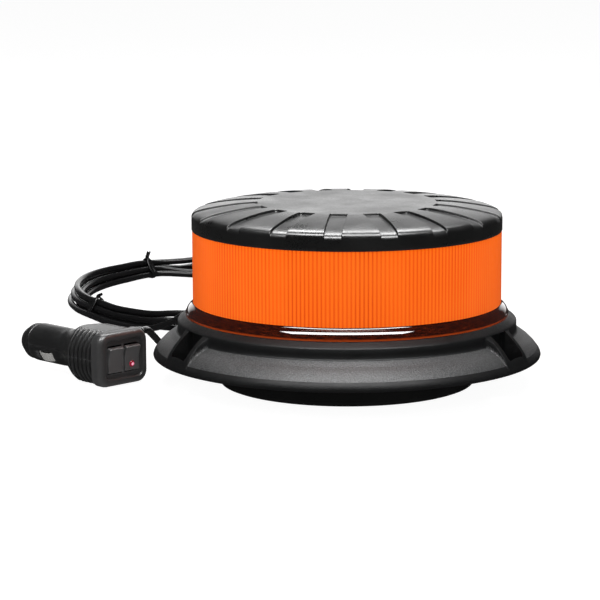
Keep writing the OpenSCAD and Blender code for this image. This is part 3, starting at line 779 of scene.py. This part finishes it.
def lens():
    """A smooth tube with a flared foot, and vertical prisms on the inner wall."""
    columns = RIBS * 4
    profile = closed(LENS_FOOT + LENS_WALL + LENS_TOP + LENS_IN)
    verts = []
    for r, z in profile:
        for j in range(columns):
            inward = PRISM_DEEP * abs((j % 4) - 2) / 2 if r == LENS_IN_R else 0.0
            a = TAU * j / columns
            verts.append(((r - inward) * math.cos(a), (r - inward) * math.sin(a), z))
    b = Builder()
    b.add(verts, grid_faces(len(profile), columns))
    return b.object("amber_lens", [LENS, SKIRT], lambda c: int(c.z < SKIRT_TOP), sharp=45)


place(lens(), "lamp", "amber_lens", "lens")

# -------- cap
CAP_TOP, CAP_R = 93.6, 79.7
CHANNELS, CHANNEL_HALF, CHANNEL_R, CHANNEL_DEEP, CHANNEL_CORNER = 18, 4.3, 46.0, 1.2, 1.0
CHANNEL_PITCH = 360 / CHANNELS
FIRST_CHANNEL = -95  # degrees
FAN_R = 30.0  # inside this radius the columns are fanned evenly
CROWN = [(46, 93.6), (49, 93.52), (52, 93.32), (56, 92.98), (60, 92.52), (64, 91.98), (68, 91.34), (72, 90.6),
         (74.5, 90.02), (76.4, 89.48), (77.7, 88.95), (78.6, 88.4), (79.2, 87.8), (79.55, 87.1), (79.7, 86.3),
         (79.7, 85.4), (79.7, 84.6)]
CROWN_FLOOR = [(r, z - CHANNEL_DEEP) for r, z in CROWN[:-3]] + [(79.7, 85.15), (79.7, 84.75), (79.7, 84.3)]
CAP_BAND = [(79.7, 83), (79.7, 81.5), (79.7, 80.1), (79.5, 79.75), (79.2, 79.7), (77.9, 79.7), (77.6, 79.9),
            (77.6, 84.8), (77.2, 85.2), (73.4, 85.2), (73, 85.6), (72, 87.4), (64, 88.8), (50, 90.4),
            (4, 90.6)]
# columns beside a channel's middle line, close together at its walls
CHANNEL_X = [0, 1.6, 2.9, 3.4, 3.75, 3.95, 4.08, 4.18, 4.3, 4.42, 4.52, 4.65, 5.0, 5.8]
# rows before and after a channel's inner end
CHANNEL_END = (-0.35, -0.2, -0.1, 0, 0.1, 0.2, 0.35, 0.6, 0.95, 1.4, 2.0)


def crown_rows():
    """Radius, crown height and channel floor of each row, close together at the channels' inner ends."""
    rows = []
    for r in (4, 10, 18, 26, 32, 38, 42, 44, 45.2):
        height = CAP_TOP + 0.02 * (1 - r / CHANNEL_R)
        rows.append((r, height, height))
    for step in CHANNEL_END:
        height = CAP_TOP - 0.0066 * max(0.0, step) ** 2
        rows.append((CHANNEL_R + step, height, height - CHANNEL_DEEP))
    return rows + [(r, z, floor_z) for (r, z), (_, floor_z) in zip(CROWN[1:], CROWN_FLOOR[1:])]


def channel_mask(along, beside):
    """1 on a channel's floor, 0 on the crown, with the corners of the inner end rounded."""
    qx, qy = CHANNEL_R + CHANNEL_CORNER - along, abs(beside) - (CHANNEL_HALF - CHANNEL_CORNER)
    d = math.hypot(max(qx, 0), max(qy, 0)) + min(max(qx, qy), 0) - CHANNEL_CORNER
    return 1 - smooth(-0.19, 0.19, d)


def beside_angle(x, r):
    """The angle, in degrees, of a point that lies x beside a radial line at a radius."""
    return math.degrees(math.asin(x / r))


def cap():
    """A low crown with parallel-sided channels that run out over its edge."""
    per_channel = 2 * len(CHANNEL_X)
    columns = []
    for number in range(CHANNELS):
        columns += [(number, -x) for x in reversed(CHANNEL_X[1:])] + [(number, x) for x in CHANNEL_X]
        columns += [(number + 0.5, None)]
    rows, verts = crown_rows(), []
    for r, top, floor_z in rows:
        fanned, square = smooth(26, 44, r), (1 - smooth(50, 68, r)) * smooth(38, 44, r)
        for j, (number, x) in enumerate(columns):
            away, t, off = r, 0.0, 0.0
            if x is not None:
                off = beside_angle(x, max(r, FAN_R))
                away = lerp(r, math.hypot(r, x), square)
                t = channel_mask(r, x) if r > 44 else 0.0
            even = FIRST_CHANNEL + CHANNEL_PITCH * (j - len(CHANNEL_X) + 1) / per_channel
            px, py = polar(away, lerp(even, FIRST_CHANNEL + CHANNEL_PITCH * number + off, fanned))
            verts.append((px, py, lerp(top, floor_z, t)))
    for r, z in CAP_BAND:
        for number, x in columns:
            off = 0 if x is None else beside_angle(x, CAP_R)
            px, py = polar(r, FIRST_CHANNEL + CHANNEL_PITCH * number + off)
            verts.append((px, py, z))
    b = Builder()
    n, count = len(columns), len(rows) + len(CAP_BAND)
    b.add(verts, grid_faces(count, n))
    b.faces.append(tuple(range(n)))
    b.faces.append(tuple((count - 1) * n + n - 1 - j for j in range(n)))
    return b.object("finned_cap", [CAP_BLACK], sharp=38)


place(cap(), "lamp", "cap_plastic", "cap")


# -------- boots on the lead
def boot(name, profile, frame_of_boot):
    """A stepped tapering sleeve, from (radius, position along the lead) pairs."""
    return lathed(name, closed(fillet(profile, 0.3, 2)), 48, frame_of_boot, [CORD_BLACK])


OUTLET = [(1.95, 76), (5, 76), (5, 101), (8, 101), (8, 103.2), (7.2, 104.2), (6.4, 104.2), (5.7, 110),
          (4.7, 110), (4.6, 111.4), (5.4, 111.4), (4.9, 115), (4.0, 115), (3.9, 116.4), (4.6, 116.4),
          (4.2, 120), (3.5, 120), (3.4, 121.4), (4.0, 121.4), (3.1, 127), (1.95, 127)]
place(boot("cord_outlet_boot", OUTLET, GLAND_FRAME), "lamp", "cord_black", "cord_gland")

# -------- plug
PLUG = Matrix.Translation((-114, -14.3, 14.5)) @ spin(-44)  # its axis is X, from the nose to the switch face
BOOT_FRAME = PLUG @ Matrix.Translation((-12.5, 14, 7)) @ spin(120) @ TURN_X
HEAD_W, HEAD_H, HEAD_R = 33.0, 28.0, 6.0
GRIP_RINGS, RING_PITCH, RING_START = 5, 3.2, -24.6
GRIP = [(-66, 9.7), (-65.8, 9.95), (-64.5, 10), (-45, 10), (-43.4, 9.93), (-42, 9.75), (-40.4, 9.85),
        (-38, 10.4), (-36, 11.15), (-34, 12.0), (-32, 13.05), (-30, 14.15), (-28.4, 15.05), (-27, 15.85),
        (-25.8, 16.35), (-25, 16.5), (-24.7, 16.2)]
GRIP_RING = ((0.05, 15.75), (0.25, 15.45), (0.6, 15.42), (0.85, 15.7), (1.08, 16.45), (1.4, 16.85),
             (2.0, 16.95), (2.6, 16.85), (2.92, 16.5))
for ring_number in range(GRIP_RINGS):
    GRIP += [(RING_START + RING_PITCH * ring_number + dx, r) for dx, r in GRIP_RING]
GRIP += [(-8.6, 15.7), (-8.3, 15.45), (-7.8, 15.45), (-7.6, 15.8), (-7.4, 16.4), (-7.2, 16.6), (-7, 16.6)]
BARREL_BORE, HEAD_BORE_START, HEAD_WALL, LEAST_WALL = 7.2, -19, 4.2, 1.2
CONTACT_ROLLS = (30, 210)  # angles of the two side contacts round the barrel
SCREW_X, SCREW_Y = -24, 11.5


def head_reach(phi, inset=0.0):
    """Distance from the axis to the rounded rectangle of the head in a direction."""
    w, h, r = HEAD_W / 2 - inset, HEAD_H / 2 - inset, HEAD_R - inset
    c, s = abs(math.cos(phi)), abs(math.sin(phi))
    reach = min(w / c if c > 1e-9 else 1e9, h / s if s > 1e-9 else 1e9)
    if reach * c > w - r and reach * s > h - r:
        cx, cy = w - r, h - r
        k = c * cx + s * cy
        reach = k + math.sqrt(max(0.0, k * k - cx * cx - cy * cy + r * r))
    return reach


def soft_min(a, b, k):
    """The lower of two values, rounded off where they are less than k apart."""
    h = max(0.0, k - abs(a - b)) / k
    return min(a, b) - h * h * k * 0.25


def plug_half(name, upper):
    """One half of the plug's shell: outer skin, inner skin and the flat parting faces between them."""
    start = 0.0 if upper else 180.0
    steps = 56
    edge = [0, 0.6, 1.4]
    degrees = sorted(set(edge + [180 * k / steps for k in range(2, steps - 1)] + [180 - e for e in edge]))
    rings = []
    for x, r in refine(GRIP, 2.4):
        outer, inner = [], []
        for d in degrees:
            phi = math.radians(start + d)
            skin = soft_min(r, head_reach(phi), 0.8)
            parting = 0.22 * (1 - smooth(0, 1.3, min(d, 180 - d)))
            reach = skin - parting
            outer.append((x, reach * math.cos(phi), reach * math.sin(phi)))
            hollow = head_reach(phi, HEAD_WALL) if x > HEAD_BORE_START else BARREL_BORE
            reach = min(hollow, skin - LEAST_WALL)
            inner.append((x, reach * math.cos(phi), reach * math.sin(phi)))
        rings.append(moved(PLUG, outer + inner[::-1]))
    b = Builder()
    b.loft(rings)
    obj = b.object(name, [PLUG_BLACK], sharp=35)
    barrel = PLUG @ spin(CONTACT_ROLLS[upper], "X")
    cuts = [box_cutter((-58, -46), (-12, -6), (-3, 3), 1.2, barrel, axis="y")]
    if upper:
        cuts.append(bore_cutter(4.4, -4, 10, 40, BOOT_FRAME))
    else:
        for s in (-1, 1):
            cuts.append(bore_cutter(2.5, -20, -8, 28, PLUG @ Matrix.Translation((SCREW_X, s * SCREW_Y, 0))))
    boolean_cut(obj, cuts, 35)
    return obj


def turned(name, profile, material, radius):
    """A piece turned about the plug's axis, from (position along the axis, radius) pairs."""
    return lathed(name, fillet([(r, x) for x, r in profile], radius, 3), 64, PLUG @ TURN_X, [material])


upper_shell = place(plug_half("plug_upper_shell", True), "lamp", "plug_plastic", "plug_shell_upper")
lower_shell = place(plug_half("plug_lower_shell", False), "lamp", "plug_plastic", "plug_shell_lower")
NOSE = [(-66, 3.4), (-76, 3.4), (-76, 5.6), (-75.4, 6.6), (-74.2, 7.3), (-71.4, 8.75), (-71, 9.1),
        (-70.6, 9.1), (-70.2, 9.5), (-67.2, 9.65), (-66.9, 9.4), (-66.4, 9.4), (-66.1, 9.65), (-66, 9.6),
        (-66, 3.4)]
nose = place(turned("plug_nose_ring", NOSE, PLUG_BLACK, 0.2), "lamp", "plug_plastic", "plug_nose")
TIP = [(-80, 0), (-79.98, 0.9), (-79.6, 2.0), (-78.9, 2.75), (-77.9, 3.15), (-77, 3.3), (-75, 3.3),
       (-71.9, 3.3), (-71.9, 5), (-69.9, 5), (-69.9, 0)]
tip = place(turned("plug_tip_contact", TIP, NICKEL, 0.25), "tip", "contact_nickel", "tip_contact")

# width and drop of the points across a contact strip, on its outer face and then on its inner one
STRIP_TOP = ((-2.7, 0.45), (-2.45, 0.12), (-1.4, 0.0), (0, 0.0), (1.4, 0.0), (2.45, 0.12), (2.7, 0.45))
STRIP_UNDER = ((2.6, 0.8), (1.2, 0.7), (0, 0.7), (-1.2, 0.7), (-2.6, 0.8))
STRIP_CENTRE, STRIP_HALF, STRIP_CROWN, STRIP_BOW, STRIP_FLOOR = -52, 5.7, 10.85, 1.75, 8.25


def side_contact(name, roll):
    """A bowed spring strip that stands out of the barrel's window."""
    b = Builder()
    rings = []
    turn = PLUG @ spin(roll, "X")
    for k in range(25):
        x = STRIP_CENTRE + STRIP_HALF * (k / 12 - 1)
        u = (x - STRIP_CENTRE) / STRIP_HALF
        crown = STRIP_CROWN - STRIP_BOW * u * u * (0.55 + 0.45 * u * u)
        ring = [(x, -(crown - drop), z) for z, drop in STRIP_TOP]
        ring += [(x, -max(STRIP_FLOOR, crown - drop), z) for z, drop in STRIP_UNDER]
        rings.append(moved(turn, ring))
    b.loft(rings)
    return b.object(name, [NICKEL], sharp=45)


contact_front = place(side_contact("side_contact_strip_front", CONTACT_ROLLS[0]), "side_contact_front",
                      "contact_nickel", "side_contact_front")
contact_back = place(side_contact("side_contact_strip_back", CONTACT_ROLLS[1]), "side_contact_back",
                     "contact_nickel", "side_contact_back")

# position along the axis, inset and corner radius of the bezel's outlines, from the grip to the inset face
BEZEL_STEPS = ((-7, 0.4, 5.7), (-6.6, 0.05, 5.9), (-6, 0.0, 6.0), (-3.4, 0.0, 6.0), (-2.3, 0.12, 5.9),
               (-1.3, 0.45, 5.7), (-0.55, 1.05, 5.3), (-0.12, 1.8, 4.8), (0, 2.5, 4.3), (0, 3.3, 3.8),
               (-0.1, 3.7, 3.4), (-0.45, 4.0, 3.1), (-1.0, 4.15, 2.9), (-1.2, 4.5, 2.6))
ROCKER_Y = 5.5  # middle of a rocker beside the plug's axis
WINDOW_W, WINDOW_H = 9.8, 14.8


def rounded_loop(width, height, r):
    """A rounded rectangle as a ring of points."""
    loop, steps = [], 7
    for sx, sy, start in ((1, 1, 0), (-1, 1, 90), (-1, -1, 180), (1, -1, 270)):
        for k in range(steps + 1):
            x, y = polar(r, start + 90 * k / steps)
            loop.append((sx * (width / 2 - r) + x, sy * (height / 2 - r) + y))
    return loop


def bezel():
    """The raised rounded-square frame round the two rockers, with its inset face."""
    b = Builder()
    rings = []
    for x, inset, r in BEZEL_STEPS:
        loop = rounded_loop(HEAD_W - 2 * inset, HEAD_H - 2 * inset, r)
        rings.append(moved(PLUG, [(x, y, z) for y, z in loop]))
    b.loft(rings)
    obj = b.object("switch_bezel_frame", [BEZEL_BLACK], sharp=35)
    cuts = []
    w, h = WINDOW_W / 2, WINDOW_H / 2
    for middle in (-ROCKER_Y, ROCKER_Y):
        cuts.append(box_cutter((-9, 3), (middle - w, middle + w), (-h, h), 0.6, PLUG, axis="x"))
    boolean_cut(obj, cuts, 35)
    return obj


bezel_obj = place(bezel(), "lamp", "plug_plastic", "switch_bezel")

ROCKER_TILT = 7  # degrees at rest
ROCKER_HALF_H, ROCKER_FLAT = 6.2, 4.2  # half the face's height, and half its width inside the rounded edges
ROCKER_FACE, FACE_RISE, FACE_DISH = 2.7, 0.9, 0.12
ROCKER_BACK = [(2.7, 6.62), (1.2, 6.8), (0.2, 5.6), (-0.5, 4.2), (-0.8, 2.4), (-2.2, 1.3), (-2.4, 0),
               (-2.2, -1.3), (-0.8, -2.4), (-0.5, -4.2), (0.2, -5.6), (1.2, -6.8), (2.7, -6.62)]
ROCKER_ROWS = ((-4.7, 0.5), (-4.62, 0.25), (-4.45, 0.08), (-4.2, 0), (-2.1, 0), (0, 0), (2.1, 0), (4.2, 0),
               (4.45, 0.08), (4.62, 0.25), (4.7, 0.5))


def rocker_frame(side):
    return PLUG @ Matrix.Translation((-3, side * ROCKER_Y, 0)) @ spin(ROCKER_TILT, "Y")


JEWEL_FRAME = rocker_frame(1) @ Matrix.Translation((0, 0, -3.2)) @ TURN_X
JEWEL_CORE_R = 0.72
JEWEL = [(0, 1.4), (1.68, 1.4), (1.68, 2.95), (1.6, 3.15), (1.35, 3.4), (0.9, 3.6), (0.4, 3.69), (0, 3.7)]


def rocker(name, side, body, node):
    """A curved rocker cap: dished face, rounded ends and edges, on its axle hub."""
    b = Builder()
    tilt = rocker_frame(side)
    loop = []
    for k in range(33):
        w = -ROCKER_HALF_H + 2 * ROCKER_HALF_H * k / 32
        loop.append((ROCKER_FACE + FACE_RISE * (abs(w) / ROCKER_HALF_H) ** 1.8, w))
    loop += ROCKER_BACK
    centre = Vector((1.2, 0))
    rings = []
    for y, inset in ROCKER_ROWS:
        ring = []
        for p in loop:
            v = Vector(p)
            d = (centre - v).normalized() * inset
            on_face = abs(y) <= ROCKER_FLAT and v.x > ROCKER_FACE - 0.01
            dish = -FACE_DISH * (1 - (y / ROCKER_FLAT) ** 2) if on_face else 0.0
            ring.append((v.x + d.x + dish, y, v.y + d.y))
        rings.append(moved(tilt, ring))
    b.loft(rings)
    obj = b.object(name, [ROCKER_BLACK], sharp=40)
    if side > 0:
        boolean_cut(obj, [bore_cutter(1.75, 1.3, 8, 32, JEWEL_FRAME)], 40)
    return place(obj, body, "rocker_plastic", node)


left_rocker = rocker("rocker_cap_left", -1, "rocker_left", "rocker_left")
right_rocker = rocker("rocker_cap_right", 1, "rocker_right", "rocker_right")


def jewel():
    """The domed indicator lens in the right rocker, with a paler core."""
    to_axis = JEWEL_FRAME.inverted()
    return lathed("indicator_jewel", JEWEL, 40, JEWEL_FRAME, [INDICATOR, INDICATOR_CORE],
                  lambda c: int((to_axis @ c).xy.length < JEWEL_CORE_R), sharp=60)


jewel_obj = place(jewel(), "rocker_right", "red_lens", "indicator_lens")

PLUG_BOOT = [(1.95, -1.8), (4.4, -1.8), (4.4, 5.2), (5, 5.2), (5, 6.8), (4.2, 6.8), (4.0, 9.2), (3.4, 9.2),
             (3.4, 10.2), (3.9, 10.2), (3.6, 13), (3.1, 13), (3.1, 14), (3.4, 14), (2.9, 18), (1.95, 18)]
boot_obj = place(boot("plug_cord_boot", PLUG_BOOT, BOOT_FRAME), "lamp", "cord_black", "cord_boot")

ON_CORD = [upper_shell, lower_shell, nose, tip, contact_front, contact_back, bezel_obj, left_rocker,
           right_rocker, jewel_obj, boot_obj, tie_front, tie_back]
ON_CORD += [NODES[n] for n in ("shell_screws", "tip_spring", "fuse", "fuse_caps", "rocker_axle",
                               "switch_bodies", "plug_board", "plug_wires")]


# -------- stage and light
def floor_material():
    """Pale and softly glowing to the eye, dark in reflections, so that black parts stay black."""
    n = Nodes("pale floor")
    mirrored = n.new("ShaderNodeLightPath").outputs["Is Glossy Ray"]
    pale = n.mix(n.noise(3, 2), (0.29, 0.29, 0.29), (0.31, 0.31, 0.31))
    glow = n.range(mirrored, 0, 1, 0.95, 0.0)
    return n.done(n.mix(mirrored, pale, (0.04, 0.04, 0.04)), 0.9, Specular_IOR_Level=0.0,
                  Emission_Color=(1, 1, 1, 1), Emission_Strength=glow)


floor_mesh = bpy.data.meshes.new("floor")
floor_mesh.from_pydata([(-6, -6, 0), (6, -6, 0), (6, 9, 0), (-6, 9, 0)], [], [(0, 1, 2, 3)])
floor_mesh.materials.append(floor_material())
floor = new_object("floor", floor_mesh)


def softbox(name, location, target, size, power, diffuse=True, glossy=True):
    """A rectangular light aimed at a point; it may light surfaces only, or show in reflections only."""
    data = bpy.data.lights.new(name, "AREA")
    data.shape, data.size, data.size_y, data.energy = "RECTANGLE", size[0], size[1], power
    light = new_object(name, data)
    light.location = location
    light.rotation_euler = (Vector(target) - Vector(location)).to_track_quat("-Z", "Y").to_euler()
    light.visible_diffuse, light.visible_glossy = diffuse, glossy


softbox("overhead softbox", (0, 0.15, 1.5), (0, 0.05, 0), (1.5, 1.2), 16, glossy=False)
softbox("high back softbox", (0, 1.15, 1.9), (0, 0.0, 0.08), (1.5, 0.6), 48, diffuse=False)
softbox("front fill", (0.0, -1.9, 1.1), (0, 0, 0.05), (2.4, 1.2), 9, glossy=False)
softbox("left softbox", (-1.4, -0.5, 0.9), (0, 0, 0.05), (0.9, 0.9), 6, glossy=False)
softbox("right softbox", (1.5, -0.3, 0.8), (0, 0, 0.05), (0.7, 0.9), 4, glossy=False)
softbox("strip over the lens foot", (0, -0.64, 1.43), (0, -0.08, 0.04), (1.95, 0.62), 66, diffuse=False)


def studio_world():
    """A dark room with a bright back wall."""
    world = bpy.data.worlds.new("studio")
    world.use_nodes = True
    tree = world.node_tree
    direction = tree.nodes.new("ShaderNodeTexCoord")
    split = tree.nodes.new("ShaderNodeSeparateXYZ")
    tree.links.new(direction.outputs["Generated"], split.inputs[0])
    ramp = tree.nodes.new("ShaderNodeMapRange")
    tree.links.new(split.outputs["Y"], ramp.inputs["Value"])
    for key, value in (("From Min", 0.88), ("From Max", 0.985), ("To Min", 0.03), ("To Max", 1.75)):
        ramp.inputs[key].default_value = value
    grey = tree.nodes.new("ShaderNodeCombineColor")
    for channel in range(3):
        tree.links.new(ramp.outputs["Result"], grey.inputs[channel])
    background = tree.nodes["Background"]
    tree.links.new(grey.outputs["Color"], background.inputs["Color"])
    background.inputs["Strength"].default_value = 1.0
    return world


bpy.context.scene.world = studio_world()
bpy.context.scene.view_settings.view_transform = "Standard"
